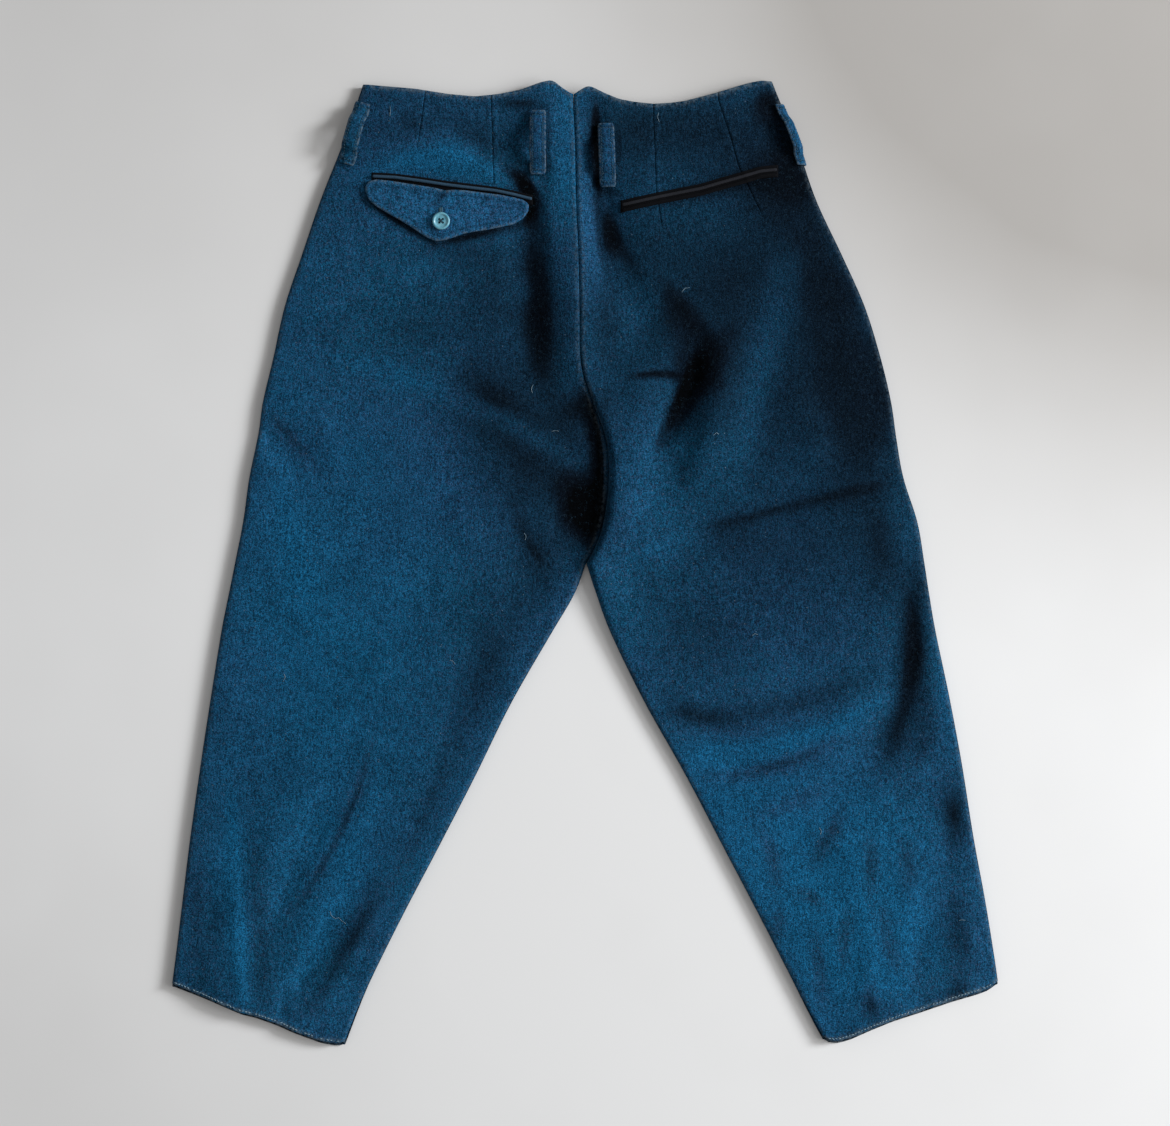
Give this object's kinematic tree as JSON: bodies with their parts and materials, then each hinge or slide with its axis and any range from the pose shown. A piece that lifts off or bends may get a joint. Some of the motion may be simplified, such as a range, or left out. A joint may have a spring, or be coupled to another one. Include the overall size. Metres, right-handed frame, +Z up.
{
  "type": "trousers",
  "caption": "Cropped tapered wool trousers with a high grown-on waist, lying flat with the seat up, with back darts, a flapped and a welted back pocket and belt loops.",
  "frame": {"origin": "on the surface that the trousers lie on, under the middle of the garment", "axes": "+Z up from the surface, +Y from the hems to the waist, +X towards the wearer's right side"},
  "size_m": [0.72, 0.8397, 0.018],
  "materials": {
    "wool": "heavy fulled wool with a short nap, deep teal blue",
    "welt": "smooth dark pocketing, matt",
    "button": "pale blue-grey, softly polished"
  },
  "bodies": {
    "root": {"back_left": "wool", "back_right": "wool", "front_left": "wool", "front_right": "wool", "flap_left": "wool", "belt_loop_centre_left": "wool", "belt_loop_centre_right": "wool", "belt_loop_side_left": "wool", "belt_loop_side_right": "wool", "welt_left": "welt", "welt_right_upper": "welt", "welt_right_lower": "welt", "pocket_button": "button"}
  },
  "joints": []
}
